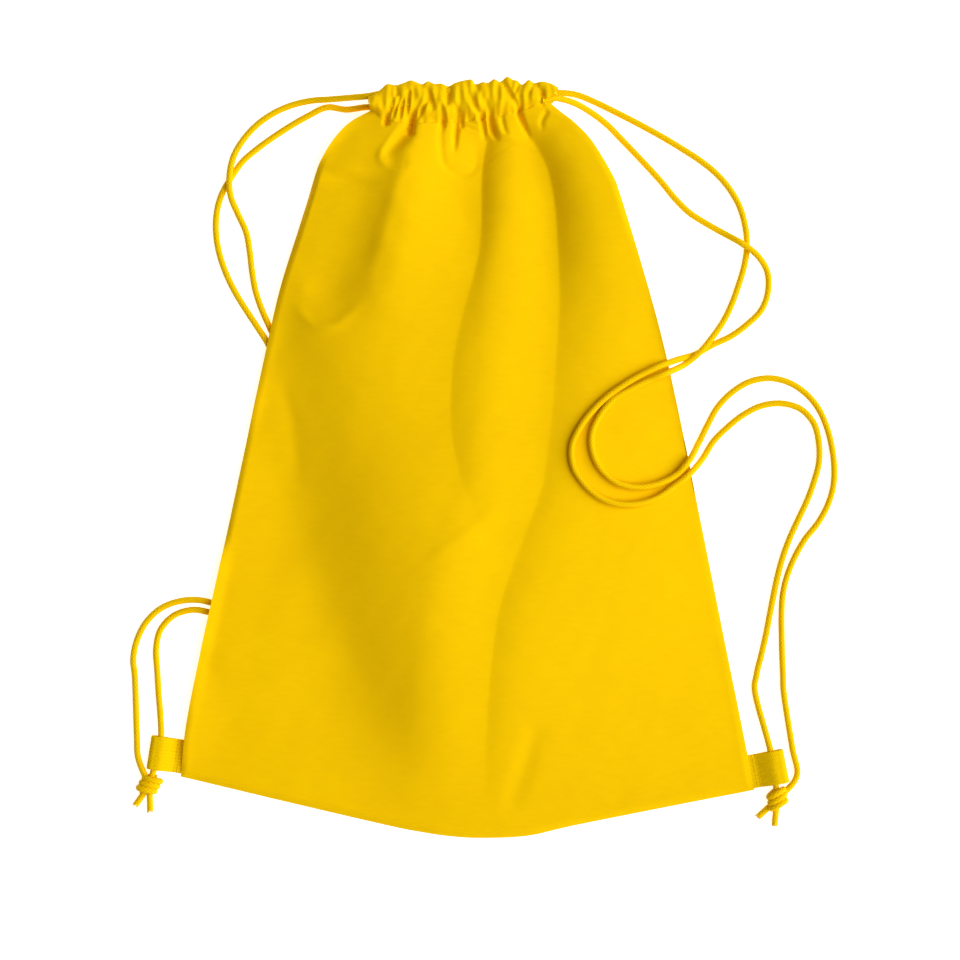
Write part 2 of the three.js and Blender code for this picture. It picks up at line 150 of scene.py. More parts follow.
LEFT_FRONT_EXIT, LEFT_FRONT_FAR_END = casing_ends(UPPER_CORD, FRONT_RUN)
LEFT_REAR_EXIT, LEFT_REAR_FAR_END = casing_ends(LOWER_CORD, REAR_RUN)
RIGHT_FRONT_FAR_END, RIGHT_FRONT_EXIT = casing_ends(LOWER_CORD, FRONT_RUN)
RIGHT_REAR_FAR_END, RIGHT_REAR_EXIT = casing_ends(UPPER_CORD, REAR_RUN)

# From the end of each route to the knot: through the tab's fold, or beside it.
LOOP_HEIGHT = 0.00345
LEFT_THROUGH = [(-0.1817, -0.1635, LOOP_HEIGHT), (-0.1843, -0.178, LOOP_HEIGHT)]
LEFT_BESIDE = [(-0.1963, -0.1635, 0.0024), (-0.1953, -0.178, 0.0028)]
RIGHT_THROUGH = [(0.1799, -0.1715, LOOP_HEIGHT), (0.1826, -0.187, LOOP_HEIGHT)]
RIGHT_BESIDE = [(0.1934, -0.1715, 0.0024), (0.196, -0.1885, 0.0028)]

KNOT_HEIGHT = 0.0049
LEFT_KNOT = (-0.1887, -0.1936, KNOT_HEIGHT)
RIGHT_KNOT = (0.1844, -0.2022, KNOT_HEIGHT)
LEFT_TAIL_TIPS = [(-0.1969, -0.2055), (-0.1884, -0.209)]
RIGHT_TAIL_TIPS = [(0.1735, -0.2125), (0.183, -0.2175)]

# ---- curves and meshes ----

CURVE_STEPS = 24  # between two of a curve's points, before it is divided evenly


def smooth(x):
    x = np.clip(x, 0, 1)
    return x * x * (3 - 2 * x)


def ramp(value, start, end):
    """From 0 to 1, smoothly, as a value goes from start to end."""
    return smooth((value - start) / (end - start))


def along_length(points):
    """How far along a line of points each of them is."""
    spans = np.linalg.norm(np.diff(points, axis=0), axis=1)
    return np.concatenate([[0], np.cumsum(spans)])


def spaced(points, count):
    """A number of points, evenly along a line of points."""
    reached = along_length(points)
    wanted = np.linspace(0, reached[-1], count)
    return np.column_stack([np.interp(wanted, reached, axis) for axis in points.T])


def resample(points, step):
    """Points at even steps along a line of points."""
    points = np.asarray(points, float)
    return spaced(points, max(2, round(along_length(points)[-1] / step) + 1))


def curve_through(points, step):
    """Even points of a smooth curve through the given ones (Catmull-Rom)."""
    points = np.asarray(points, float)
    first = 2 * points[0] - points[1]
    last = 2 * points[-1] - points[-2]
    padded = np.vstack([first, points, last])
    t = np.linspace(0, 1, CURVE_STEPS, endpoint=False)[:, None]
    parts = [
        b + 0.5 * ((c - a) * t + (2 * a - 5 * b + 4 * c - d) * t**2 + (3 * b - a - 3 * c + d) * t**3)
        for a, b, c, d in zip(padded, padded[1:], padded[2:], padded[3:])
    ]
    return resample(np.vstack([*parts, points[-1:]]), step)


def nearest_on_line(places, line):
    """For each place, its distance to a line of points, where along the line that is, and
    on which side of it: 1 on the left hand going along, -1 on the right hand."""
    gaps = np.full(len(places), np.inf)
    spots = np.zeros(len(places))
    sides = np.ones(len(places))
    for i, (start, end) in enumerate(zip(line[:-1], line[1:])):
        run = end - start
        offset = places - start
        t = np.clip(offset @ run / (run @ run), 0, 1)
        gap = np.linalg.norm(offset - t[:, None] * run, axis=1)
        turn = np.sign(run[0] * offset[:, 1] - run[1] * offset[:, 0])
        closer = gap < gaps
        gaps[closer] = gap[closer]
        spots[closer] = i + t[closer]
        sides[closer] = turn[closer]
    return gaps, spots, sides


def waves(places, shortest, longest, count, seed):
    """A gentle irregular pattern of height about one, from waves in many directions."""
    rng = np.random.default_rng(seed)
    total = np.zeros(len(places))
    for _ in range(count):
        length = shortest * (longest / shortest) ** rng.random()
        angle = rng.random() * 2 * math.pi
        phase = rng.random() * 2 * math.pi
        across = places[:, 0] * math.cos(angle) + places[:, 1] * math.sin(angle)
        total += np.sin(2 * math.pi * across / length + phase)
    return total / math.sqrt(count)


def turned(points, centre, degrees):
    """Points in a piece's own frame, in millimetres, placed in the scene."""
    angle = math.radians(degrees)
    x, y, z = np.asarray(points, float).T * MM
    return np.column_stack([
        centre[0] + x * math.cos(angle) - y * math.sin(angle),
        centre[1] + x * math.sin(angle) + y * math.cos(angle),
        centre[2] + z,
    ])


def mesh_object(name, points, faces):
    mesh = bpy.data.meshes.new(name)
    mesh.from_pydata(points, [], faces)
    mesh.polygons.foreach_set("use_smooth", [True] * len(faces))
    mesh.update()
    piece = bpy.data.objects.new(name, mesh)
    bpy.context.collection.objects.link(piece)
    return piece


def grid_faces(rows, columns, closed=False):
    """The faces of a grid of points. A closed one joins its last column to its first."""
    index = np.arange(rows * columns).reshape(rows, columns)
    if closed:
        index = np.column_stack([index, index[:, 0]])
    corners = [index[:-1, :-1], index[:-1, 1:], index[1:, 1:], index[1:, :-1]]
    return np.stack(corners, axis=-1).reshape(-1, 4).tolist()


def grid_object(name, points, uv=None):
    """A mesh object from a grid of points, as rows of columns. With uv, a place in the
    texture for each row and column, it is a closed tube with both ends capped."""
    rows, columns = points.shape[:2]
    faces = grid_faces(rows, columns, closed=uv is not None)
    if uv is not None:
        around = grid_faces(*uv.shape[:2])
        first_row = list(range(columns))
        last_row = list(range((rows - 1) * columns, rows * columns))
        faces += [first_row, last_row[::-1]]
    piece = mesh_object(name, points.reshape(-1, 3).tolist(), faces)
    if uv is not None:
        values = uv.reshape(-1, 2)[np.ravel(around)]
        values = np.vstack([values, np.zeros((2 * columns, 2))])
        piece.data.uv_layers.new(name="UVMap").data.foreach_set("uv", values.reshape(-1))
    return piece


def axes_along(path):
    """Two directions across a path at each of its points, without twist."""
    forward = np.gradient(path, axis=0)
    forward /= np.linalg.norm(forward, axis=1)[:, None]
    start = np.array([0, 0, 1.0])
    if abs(forward[0, 2]) > 0.9:
        start = np.array([0, 1.0, 0])
    across = []
    for direction in forward:
        start = start - (start @ direction) * direction
        start /= np.linalg.norm(start)
        across.append(start)
    across = np.array(across)
    return across, np.cross(forward, across)


# ---- cord meshes ----

CORD_SIDES = 24
CORD_STEP = 0.0006
BRAID_COLUMNS = 6
BRAID_PICK = 0.0026
BRAID_RELIEF = 0.00012
YARN_OUT = 0.00016  # how far the middle of a yarn stands out from the cord's radius


def braided_tube(name, path, radius=CORD_RADIUS + YARN_OUT):
    """A braided cord along a path: two sets of yarns that wind round it both ways."""
    first, second = axes_along(path)
    reached = along_length(path)
    angle = np.linspace(0, 2 * math.pi, CORD_SIDES, endpoint=False)
    around = angle[None, :] * BRAID_COLUMNS / (2 * math.pi)
    lengthwise = reached[:, None] / BRAID_PICK
    one_way = np.abs(np.sin(math.pi * (around + lengthwise)))
    other_way = np.abs(np.sin(math.pi * (around - lengthwise)))
    yarns = np.sqrt(one_way * other_way)
    radii = radius - BRAID_RELIEF * (1 - yarns)
    cos = np.cos(angle)[None, :, None]
    sin = np.sin(angle)[None, :, None]
    out = cos * first[:, None] + sin * second[:, None]
    points = path[:, None] + radii[:, :, None] * out
    ends = np.linspace(0, BRAID_COLUMNS, CORD_SIDES + 1)
    uv = np.stack(np.broadcast_arrays(ends[None, :], lengthwise), axis=-1)
    return grid_object(name, points, uv)


# ---- the bag's outline, in millimetres ----

LEFT_SIDE = [
    (-170.2, -188.8), (-166.5, -156.4), (-157, -109.6), (-148.5, -71.7), (-134.5, -6.5),
    (-120.5, 59.2), (-111.4, 99.5), (-100.7, 134.5), (-90.1, 168.5), (-84.8, 180.1),
    (-77.4, 190.8), (-68.9, 199.1), (-57.2, 205.6),
]
RIGHT_SIDE = [
    (170.3, -196.1), (161.2, -150.3), (152.3, -106.7), (138.1, -36.1), (126.2, 23.1),
    (115.2, 71.7), (103.7, 112.8), (90.7, 155.2), (85.7, 168), (74.1, 187.2),
    (63.8, 198.2), (55.6, 204.6), (48.4, 210.8),
]
BOTTOM = [
    (-170.2, -188.8), (-157, -192), (-106, -204.2), (-48, -217.7), (-28.7, -221.6),
    (-9.5, -224.4), (9.8, -225.4), (36.6, -224), (64.9, -217.7), (132.7, -204.2),
    (168, -197.3), (170.3, -196.1),
]
# Where the casing is stitched down, and the mouth's ruffled edge.
STITCHING = [
    (-57.2, 205.6), (-47.7, 200), (-33.9, 198), (-14.4, 198.6), (9.2, 200.2),
    (28, 203.6), (39, 207.4), (48.4, 210.8),
]
MOUTH_EDGE = [
    (-58.1, 213.3), (-54.5, 214.8), (-50.5, 218), (-47, 220.9), (-42, 220.3), (-37.5, 221.5),
    (-33, 223.1), (-28.5, 221.5), (-26, 220.9), (-22.9, 222.6), (-19, 221), (-15, 221.2),
    (-10.8, 219.6), (-7, 221.6), (-1, 223.2), (2.9, 223.5), (5.1, 220.8), (9.5, 222.1),
    (12.3, 221.6), (16.1, 223.8), (19.5, 222.2), (23.7, 225.2), (27.2, 223.4), (29.8, 222.8),
    (32.6, 220.6), (36.4, 223.4), (39.6, 221.6), (44.4, 222.4), (49.5, 221.2), (53.9, 218.8),
]

COLUMNS = 300
PANEL_ROWS = 280
HEM_ROWS = 64
ROWS_CLOSER = 1.45  # how much closer the rows are at the mouth
OUTLINE_STEP = 0.5
SIDE_STEPS = 2000  # along a side, from which the rows' ends are taken


def even(points, count):
    """A number of points evenly along an outline, in millimetres."""
    return spaced(curve_through(points, OUTLINE_STEP), count)


def panel_places(columns, rows):
    """The panel's places seen from above, blended from its four sides (a Coons patch)."""
    u = np.linspace(0, 1, columns + 1)
    v = 1 - (1 - np.linspace(0, 1, rows + 1)) ** ROWS_CLOSER
    low = even(BOTTOM, columns + 1)
    high = even(STITCHING, columns + 1)
    at = np.round(v * SIDE_STEPS).astype(int)
    left = even(LEFT_SIDE, SIDE_STEPS + 1)[at]
    right = even(RIGHT_SIDE, SIDE_STEPS + 1)[at]
    u = u[None, :, None]
    v = v[:, None, None]
    across = left[:, None] * (1 - u) + right[:, None] * u
    upward = low[None] * (1 - v) + high[None] * v
    lowest = low[0] * (1 - u) + low[-1] * u
    highest = high[0] * (1 - u) + high[-1] * u
    return across + upward - lowest * (1 - v) - highest * v


# ---- folds of the front cloth, in millimetres ----
# The cloth's broad shape: for each y, the height above the floor at places across it.

BROAD_SHAPE = [
    (-188, [(-150, 3), (-100, 3.4), (-66, 3.8), (-50, 4.6), (-30, 7), (-8, 9), (12, 9.2), (45, 8),
            (80, 6.6), (120, 4.8), (152, 3.2)]),
    (-154, [(-150, 3.8), (-100, 3.7), (-70, 4.2), (-54, 6.4), (-35, 11.6), (-14, 16), (14, 16.4),
            (45, 13.8), (80, 11), (120, 7.6), (148, 5)]),
    (-119, [(-148, 5), (-110, 4), (-85, 4.2), (-68, 7), (-47, 13.4), (-20, 19.4), (14, 20.4),
            (48, 17), (80, 13.8), (116, 10), (142, 7)]),
    (-83, [(-138, 5.8), (-110, 4.4), (-93, 4.7), (-76, 8.6), (-56, 14.6), (-28, 21), (0, 22.6),
            (18, 22), (52, 19), (85, 15.6), (116, 12.2), (138, 9)]),
    (-42, [(-132, 6), (-114, 4.8), (-99, 5), (-86, 7.9), (-72, 12), (-54, 17), (-36, 20.8),
            (-14, 23), (10, 22.8), (36, 21.4), (62, 19), (88, 16), (114, 13), (130, 10.6)]),
    (-12, [(-126, 6), (-114, 5), (-102, 5.6), (-86, 9.4), (-68, 14.4), (-50, 18.8), (-30, 21.8),
            (-6, 22.6), (20, 21.8), (48, 20), (75, 17.4), (98, 14.6), (120, 11.2)]),
    (17, [(-118, 6), (-109, 5.6), (-92, 9.4), (-72, 14.7), (-50, 18.8), (-30, 21.2), (-10, 21.8),
            (16, 21.4), (50, 19.8), (80, 17.2), (103, 14.4), (116, 12)]),
    (47, [(-113, 6), (-103, 7.6), (-84, 13), (-64, 17.2), (-42, 20), (-14, 20.8), (18, 20.6),
            (52, 19.4), (84, 16.8), (106, 13.6)]),
    (74, [(-106, 7), (-98, 10.2), (-86, 13.8), (-72, 16.2), (-52, 18.6), (-20, 19.8), (20, 20),
            (54, 19), (84, 17.4), (102, 14.6)]),
    (100, [(-102, 8.4), (-97, 10), (-87, 9.4), (-77, 10.4), (-66, 14), (-55, 18), (-30, 19.4),
            (-2, 19.2), (26, 19.6), (56, 19), (82, 18.4), (97, 16.4)]),
    (124, [(-96, 8), (-89, 9.2), (-80, 9.4), (-68, 10.6), (-57, 14), (-46.5, 18.9), (-30, 19.4),
            (6, 19), (30, 19.8), (54, 19), (80, 19.2), (91, 17.8)]),
    (150, [(-86, 8.4), (-76, 9.4), (-62, 10.4), (-50, 13.8), (-39.5, 19), (-22, 19.2), (8, 18.8),
            (31, 20), (50, 18.6), (72, 19.4), (84, 18.6)]),
    (172, [(-80, 9.6), (-68, 11), (-55, 12.2), (-45, 15), (-35, 19.2), (-15, 19), (10, 18.8),
            (29, 19.6), (46, 18.2), (64, 19), (77, 18.2)]),
    (187, [(-74, 11), (-62, 12.8), (-51, 13.8), (-41, 15.6), (-31.5, 19.4), (-10, 19), (12, 18.8),
            (27, 19.6), (40, 17.8), (55, 18.4), (70, 17.2)]),
    (201, [(-55, 14), (-40, 17.6), (-20, 18.8), (0, 18.8), (25, 19), (45, 17.4)]),
]
SHAPE_EASE = 60  # how far the surface may ease off these heights to stay smooth

# Folds that go down gently on one side and climb steeply on the other, the left one as the
# fold runs: (width of the gentle side, line of (x, y, depth, reach of the climb)).
VALLEYS = [
    (64, [(17, 207, 1.5, 8), (15, 198, 3, 8), (12, 190, 8, 9), (9, 176, 10.4, 10),
          (8, 160, 10.8, 11.6), (8, 140, 9.4, 12.6), (6.5, 122, 7.4, 14), (1.5, 102, 4.8, 14),
          (-4, 82, 3.8, 14), (-8, 62, 3.4, 13), (-10, 40, 3.4, 12), (-9.5, 15, 3, 12),
          (-4.5, -10, 2.4, 12), (3, -28, 1.6, 12), (9, -37, 0, 12)]),
    (44, [(28, 210, 2, 10), (31, 201, 4, 10), (35.5, 192, 7.2, 9), (41, 184, 8.6, 9.6),
          (47.6, 170, 9.2, 10.4), (51.5, 149, 9.6, 12), (53, 127, 9, 14), (54, 94, 6.2, 18),
          (52, 60, 4.8, 19), (50, 30, 4.2, 18), (45, -10, 3.6, 15), (36, -38, 3.8, 15),
          (24, -70, 3.8, 14), (17, -95, 3.8, 14), (13, -130, 3.6, 14), (11, -165, 2.8, 13),
          (11, -196, 1.4, 16), (11, -210, 0, 16)]),
]
VALLEY_ROUND = 1.6
VALLEY_REACH = 90
FOLD_STEP = 3
FOLD_REACH = 3  # how many widths a narrow fold is felt over

# Narrow folds: (width, line of (x, y, rise)). A negative rise is a valley.
SHARP_FOLDS = [
    # crest of the big fold left of the middle, and its hollow's lower rim
    (5, [(-30, 192, 0), (-37, 176, 0.8), (-43, 158, 1), (-48, 140, 0.9), (-54, 118, 0.7),
         (-61, 96, 0)]),
    (3.6, [(-101, 92, 0.1), (-98, 86, 0.9), (-90, 79, 1.2), (-77, 79.5, 1.1), (-62, 92, 0.2)]),
    # foot of the long left fold
    (5, [(-113, 52, 0), (-108, 36, -0.9), (-104, 20, -0.9), (-101, 0, -0.5), (-99, -20, 0)]),
    # the kite under the left shoulder
    (4, [(-34.5, 196, -2), (-36.5, 192, -3.8), (-41.5, 187, -2.8), (-46.5, 182, -1.2),
         (-49.5, 179.5, 0)]),
    (2.2, [(-38, 199, 0.1), (-44.6, 190, 0.8), (-49, 184, 0.9), (-51.6, 179, 0.8),
           (-49.2, 174.4, 0.7), (-41, 168.6, 0)]),
    (3.4, [(-48, 177.4, 0), (-43, 176, -0.7), (-37.5, 174.5, -0.7)]),
    # shallow creases across the left shoulder
    (4, [(-88, 166, 0), (-70, 165, -1.5), (-50, 163, 0)]),
    (3.5, [(-88, 173, 0), (-72, 171, 0.9), (-56, 168, 0)]),
    # the lobe in the middle of the mouth
    (2.2, [(-15.2, 200, -1.1), (-15.6, 187, -0.8), (-14, 175.5, -0.7), (-9.5, 170.6, -0.8),
           (-3.5, 168.6, -0.8), (2.7, 170.2, -0.7), (5.6, 176, -0.4), (5.6, 190, 0)]),
    # the round end between the two lips
    (8, [(2, -30, 0), (8, -38, -0.5), (15, -42, -0.6), (24, -38, -0.4), (31, -28, 0)]),
    # a soft crease right of the long lip's foot
    (6, [(42, -150, 0), (37, -172, -0.9), (28, -200, -0.8), (24, -212, 0)]),
]

# Slits and pinches where the cloth is gathered at the stitching: (width, line).
PINCHES = [
    (1.5, [(-47.7, 198.5, -3.5), (-45.5, 205, -2.6), (-42.6, 212.5, -0.6)]),
    (1.2, [(-43.6, 201, -2.6), (-41.6, 207, -2), (-39.3, 213, -0.5)]),
    (1.2, [(-39.4, 201.5, -2.8), (-38.2, 208, -2), (-36.8, 212.8, -0.5)]),
    (1.2, [(-35.4, 202, -2.6), (-34.8, 208, -1.8), (-34.2, 215.5, -1.8)]),
    (1.9, [(-33.6, 193, -4), (-33.4, 196, -6), (-31, 203.5, -2.6), (-27.8, 211, -0.6)]),
    (1.3, [(-29.2, 199.5, -2.4), (-26.6, 205.5, -2), (-23.2, 211.5, -1.2)]),
    (1.6, [(-20, 206.5, -1.6), (-21.3, 212.1, -2), (-24.4, 218.5, -0.8)]),
    (1.5, [(-14.5, 195, -0.6), (-14.2, 200, -3), (-15.2, 208.5, -0.8)]),
    (1.5, [(-11.6, 209.5, -1.2), (-11.3, 213, -2), (-10.9, 218.8, -2.4)]),
    (1.6, [(-7.6, 181, 0), (-7, 190, -2.2), (-5.9, 202, -3), (-7.2, 208.5, -0.8)]),
    (1.3, [(-3.2, 196.8, -1.6), (-3.6, 201, -2.2), (-5, 206, -0.4)]),
    (1.6, [(0.6, 214.5, -0.6), (4.2, 209, -1.6), (7, 203.6, -2.6), (9.2, 199.5, -3.6),
           (10.4, 190.5, -1)]),
    (1.7, [(11.2, 210.5, -0.8), (13.4, 202, -3), (14.8, 195.5, -4.2), (17.6, 189.6, -0.8)]),
    (1.5, [(21, 221.4, -1.4), (24.6, 215.4, -1.6), (28.2, 210, -1.6), (30.4, 204.6, -4),
           (33, 198, -2.6), (36.5, 191, -0.6)]),
    (1.2, [(30.1, 220.4, -1.4), (28.8, 216.4, -0.8)]),
    (1.6, [(41.6, 219.4, -1), (43.8, 214.4, -2), (44.6, 209, -0.6)]),
    (1.3, [(5.1, 221.6, -1.4), (6.6, 217.5, -0.8)]),
    (1.3, [(-41.6, 218, -0.8), (-41.2, 214.8, -1.6)]),
    (1.4, [(38.6, 220.6, -1), (36.8, 215.4, -0.6)]),
    (1.5, [(20.5, 202.4, -0.8), (21.4, 197, -1.2), (24, 190.5, 0)]),
    (1.6, [(46.5, 204, -1), (44, 199, -0.9), (44.6, 193, 0)]),
]

PINCH_BELOW = 1.25  # how much deeper the pinches run below the stitching
SEAM_HEIGHT = 1.7
SEAM_ROUND = 4  # how far from a seam the front cloth reaches its full height
REAR_SEAM_ROUND = 9
SEAM_SAMPLES = 120
MOUTH_SEAM_HEIGHT = 9.5
SEAM_RISE = (150, 200)  # y between which the side seams rise to the casings
SIDE_FROM_MIDDLE = 60  # x at which a side's lift is whole
LEFT_LIFT = 3.4
LEFT_LIFT_RISE = (-175, -95)
LEFT_LIFT_FALL = (0, 60)
# How far the right seam is lifted off the floor: (y, lift).
RIGHT_LIFTS = [
    (-196, 0), (-154, 2.4), (-119, 4), (-83, 6), (-42, 7.6), (-12, 8.4), (17, 9.2), (47, 10.6),
    (74, 11.8), (100, 13.2), (124, 14.3),
]
HIGHEST_SEAM = 16
CORD_LIFT = 4.2  # how far the rear cloth arches over a cord that lies under it
CORD_LIFT_FLAT = 18  # half-width of that arch's flat top
CORD_LIFT_FALL = 28  # and of its slope
CLOTH_GAP = 0.8  # the least the front cloth lies above the rear
OVER_EASE = 2.5  # how gradually the front cloth comes to rest on the rear
REAR_REST = 0.45
REAR_LOWEST = 0.2
REAR_HEM_RISE = (180, 200)  # y between which the rear cloth rises to its casing
REAR_COLUMNS = 150
REAR_ROWS = 140
REAR_HEM_ROWS = 32
REAR_HEM_DROP = 1.6  # how far the rear casing's edge is below the front one's
REAR_PLEATS = 11
REAR_PLEAT = 0.8
REAR_GATHER = (165, 200)  # y between which the rear cloth's pleats begin
FRONT_HEM = 16.6  # height of the front casing's middle
FRONT_HEM_HALF = 4.1
FRONT_HEM_PINCH = 1.7
FRONT_HEM_RUFFLE = 0.45
REAR_HEM = 3.7
REAR_HEM_HALF = 3.2
HEM_TURN = 0.985  # how much of a full turn the casing's cloth makes
HEM_SEWN = 0.22  # share of the casing's width over which its stitching holds it down


def thin_plate(places, heights, ease):
    """A smooth surface through heights at scattered places, as a function of places."""

    def bend(gaps):
        return gaps**2 * np.log(np.maximum(gaps, 1e-9))

    count = len(places)
    gaps = np.linalg.norm(places[:, None] - places[None], axis=2)
    system = np.zeros((count + 3, count + 3))
    system[:count, :count] = bend(gaps) + ease * np.eye(count)
    system[:count, count] = 1
    system[:count, count + 1:] = places
    system[count, :count] = 1
    system[count + 1:, :count] = places.T
    weights = np.linalg.solve(system, np.concatenate([heights, np.zeros(3)]))

    def height(wanted):
        total = weights[count] + wanted @ weights[count + 1:]
        for place, weight in zip(places, weights):
            total += weight * bend(np.linalg.norm(wanted - place, axis=1))
        return total

    return height


def broad_heights():
    samples = np.array([(x, y, height) for y, row in BROAD_SHAPE for x, height in row], float)
    return thin_plate(samples[:, :2], samples[:, 2], SHAPE_EASE)


broad = broad_heights()


def hidden_line():
    """The left cord's two strands in plan, in millimetres: the bag lies over them."""
    routes = [LEFT_FRONT_ROUTE, LEFT_REAR_ROUTE]
    return np.vstack([curve_through(route, 0.004)[:, :2] for route in routes]) / MM


HIDDEN_CORD = hidden_line()


def arch(places):
    """How far the rear cloth rises over the cord that lies under it."""
    reach = np.full(len(places), np.inf)
    for spot in HIDDEN_CORD:
        reach = np.minimum(reach, np.linalg.norm(places - spot, axis=1))
    return CORD_LIFT * smooth(1 - (reach - CORD_LIFT_FLAT) / CORD_LIFT_FALL)


def seam_gap(places):
    """Distance to the nearest side or bottom seam."""
    lines = [even(side, SEAM_SAMPLES) for side in (LEFT_SIDE, RIGHT_SIDE, BOTTOM)]
    return np.min([nearest_on_line(places, line)[0] for line in lines], axis=0)


def beside_fold(places, line, reach):
    """The places within reach of a fold: which they are, how far to the left of it each one
    is as the fold runs, and the fold's values beside each."""
    line = curve_through(line, FOLD_STEP)
    low = line[:, :2].min(axis=0) - reach
    high = line[:, :2].max(axis=0) + reach
    near = np.nonzero(np.all((places > low) & (places < high), axis=1))[0]
    gaps, spots, sides = nearest_on_line(places[near], line[:, :2])
    steps = np.arange(len(line))
    return near, gaps * sides, [np.interp(spots, steps, values) for values in line.T[2:]]


def narrow_heights(places, folds):
    total = np.zeros(len(places))
    for width, line in folds:
        near, beside, (rise,) = beside_fold(places, line, FOLD_REACH * width)
        total[near] += rise * np.exp(-((beside / width) ** 2))
    return total


def valley_heights(places):
    total = np.zeros(len(places))
    for gentle_width, line in VALLEYS:
        near, beside, (depth, climb) = beside_fold(places, line, VALLEY_REACH)
        rounded = np.hypot(beside, VALLEY_ROUND) - VALLEY_ROUND
        gentle = smooth(1 - rounded / gentle_width)
        total[near] -= depth * np.where(beside > 0, np.exp(-rounded / climb), gentle)
    return total


def seam_heights(places):
    """Height of the seams: near the floor at the bottom, up to the casings at the mouth, and
    lifted along the sides between."""
    x, y = places.T
    up = ramp(y, *SEAM_RISE)
    right = np.interp(y, *np.transpose(RIGHT_LIFTS)) * smooth(x / SIDE_FROM_MIDDLE)
    left = LEFT_LIFT * smooth(-x / SIDE_FROM_MIDDLE)
    left *= ramp(y, *LEFT_LIFT_RISE) * (1 - ramp(y, *LEFT_LIFT_FALL))
    lifted = np.minimum(right + left, HIGHEST_SEAM - SEAM_HEIGHT)
    low = SEAM_HEIGHT + (MOUTH_SEAM_HEIGHT - SEAM_HEIGHT) * up
    return np.maximum(low, SEAM_HEIGHT + lifted) + arch(places)


def front_heights(places):
    """Height of the front cloth below its casing."""
    rise = 1 - (1 - np.clip(seam_gap(places) / SEAM_ROUND, 0, 1)) ** 2
    seam = seam_heights(places)
    body = broad(places) + narrow_heights(places, SHARP_FOLDS) + valley_heights(places)
    body += 0.07 * waves(places, 14, 55, 26, seed=4)
    heights = seam + (body - seam) * rise + PINCH_BELOW * narrow_heights(places, PINCHES) * rise
    over = heights - rear_heights(places) - CLOTH_GAP * rise
    heights += 0.5 * (np.hypot(over, OVER_EASE * rise) - over)
    return heights


def rear_heights(places):
    """Height of the rear cloth below its casing."""
    rise = np.clip(seam_gap(places) / REAR_SEAM_ROUND, 0, 1)
    edge = (1 - rise) ** 2
    seam = seam_heights(places)
    body = REAR_REST + arch(places) + 0.25 * (1 + waves(places, 25, 90, 16, seed=9))
    body += (REAR_HEM - REAR_REST) * ramp(places[:, 1], *REAR_HEM_RISE)
    return body + (seam - body) * edge


def hem_grid(rows, low, high, start, middle, half, pinch, ruffle):
    """A casing's cloth: up its outside from the stitching, at the start heights, over the
    mouth's edge and back down inside to the stitching."""
    turn = np.linspace(0, 2 * math.pi * HEM_TURN, rows + 1)[1:]
    height = 0.5 - 0.5 * np.cos(turn)
    bulge = np.sign(np.sin(turn)) * np.abs(np.sin(turn)) ** 0.75
    places = low[None] + (high - low)[None] * height[:, None, None]
    outside = np.where(turn < math.pi, 1 - (turn / math.pi) ** 4, 0)[:, None]
    sewn = np.exp(-((height / HEM_SEWN) ** 2))[:, None]
    puff = middle + half * np.where((turn < math.pi) & (height < 0.5), 1.0, bulge)[:, None]
    inner = np.where(turn < math.pi, 0, CLOTH_GAP * math.copysign(1, half))[:, None]
    levels = puff + (start[None] - inner - puff) * sewn
    across = places.reshape(-1, 2)
    pinches = narrow_heights(across, PINCHES).reshape(levels.shape)
    ruffles = waves(across * (1, 0.35), 3.4, 9, 14, seed=21).reshape(levels.shape)
    levels += (pinch * pinches * (1 - sewn) + ruffle * ruffles) * outside
    return np.concatenate([places, levels[..., None]], axis=-1)


def front_cloth_points():
    places = panel_places(COLUMNS, PANEL_ROWS)
    flat_places = places.reshape(-1, 2)
    heights = front_heights(flat_places)
    panel = np.column_stack([flat_places, heights]).reshape(*places.shape[:2], 3)
    low = even(STITCHING, COLUMNS + 1)
    high = even(MOUTH_EDGE, COLUMNS + 1)
    start = panel[-1, :, 2]
    hem = hem_grid(
        HEM_ROWS, low, high, start, FRONT_HEM, FRONT_HEM_HALF, FRONT_HEM_PINCH, FRONT_HEM_RUFFLE,
    )
    return np.concatenate([panel, hem]), len(panel)


def rear_cloth_points():
    places = panel_places(REAR_COLUMNS, REAR_ROWS)
    heights = rear_heights(places.reshape(-1, 2)).reshape(places.shape[:2])
    across = np.linspace(0, 1, REAR_COLUMNS + 1)
    pleats = REAR_PLEAT * np.sin(2 * math.pi * REAR_PLEATS * across)
    pleats *= np.sin(math.pi * across) ** 0.5
    heights += 0.8 * pleats[None] * ramp(places[..., 1], *REAR_GATHER)
    heights = np.maximum(heights, REAR_LOWEST)
    panel = np.concatenate([places, heights[..., None]], axis=-1)
    low = even(STITCHING, REAR_COLUMNS + 1)
    high = even(MOUTH_EDGE, REAR_COLUMNS + 1) - (0, REAR_HEM_DROP)
    start = panel[-1, :, 2]
    hem = hem_grid(REAR_HEM_ROWS, low, high, start, REAR_HEM, -REAR_HEM_HALF, 0, 0)
    hem[..., 2] = np.maximum(hem[..., 2] + 0.25 * pleats[None], REAR_LOWEST)
    return np.concatenate([panel, hem])


# ---- materials ----


